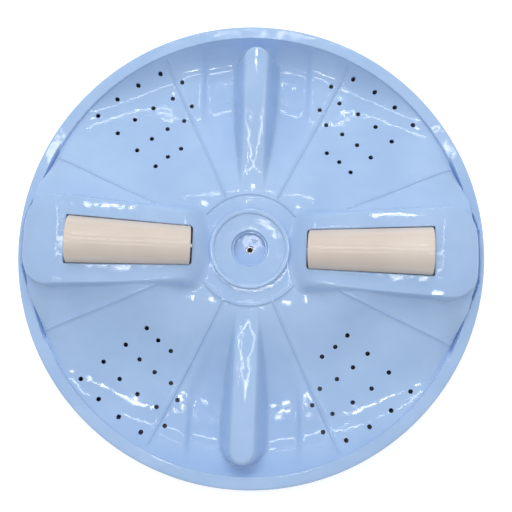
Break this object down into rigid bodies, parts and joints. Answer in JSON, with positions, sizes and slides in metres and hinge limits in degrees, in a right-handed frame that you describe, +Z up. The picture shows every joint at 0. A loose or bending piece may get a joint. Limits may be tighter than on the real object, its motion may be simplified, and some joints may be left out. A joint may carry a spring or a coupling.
{
  "type": "washing machine pulsator",
  "caption": "Round washing machine pulsator: a perforated dished disc with free-turning tapered rollers in raised pods, cross vanes and a splined metal hub insert.",
  "frame": {"origin": "centre of the base plane, on the spin axis at the lower edge of the skirt", "axes": "+Z up along the spin axis out of the decorated side, +X along the right roller, +Y along a vane"},
  "size_m": [0.38, 0.38, 0.0701],
  "materials": {
    "blue_plastic": "glossy light blue polypropylene",
    "cream_plastic": "satin cream polypropylene",
    "white_plastic": "satin white polypropylene",
    "steel": "bright turned stainless steel"
  },
  "bodies": {
    "disc_body": {"pulsator_disc": "blue_plastic", "spline_insert": "steel", "left_roller_axle": "steel", "left_roller_cover": "white_plastic", "right_roller_axle": "steel", "right_roller_cover": "white_plastic", "left_cover_screw_1": "steel", "left_cover_screw_2": "steel", "left_cover_screw_3": "steel", "left_cover_screw_4": "steel", "right_cover_screw_1": "steel", "right_cover_screw_2": "steel", "right_cover_screw_3": "steel", "right_cover_screw_4": "steel"},
    "left_roller": {"left_roller_shell": "cream_plastic", "left_roller_plug": "cream_plastic"},
    "right_roller": {"right_roller_shell": "cream_plastic", "right_roller_plug": "cream_plastic"}
  },
  "joints": [
    {"name": "left_roller_spin", "type": "hinge", "parent": "disc_body", "child": "left_roller", "pos_m": [-0.0476, 0, 0.03664], "axis": [-0.9877, 0, 0.1564], "continuous": true},
    {"name": "right_roller_spin", "type": "hinge", "parent": "disc_body", "child": "right_roller", "pos_m": [0.0476, 0, 0.03664], "axis": [0.9877, 0, 0.1564], "continuous": true}
  ]
}
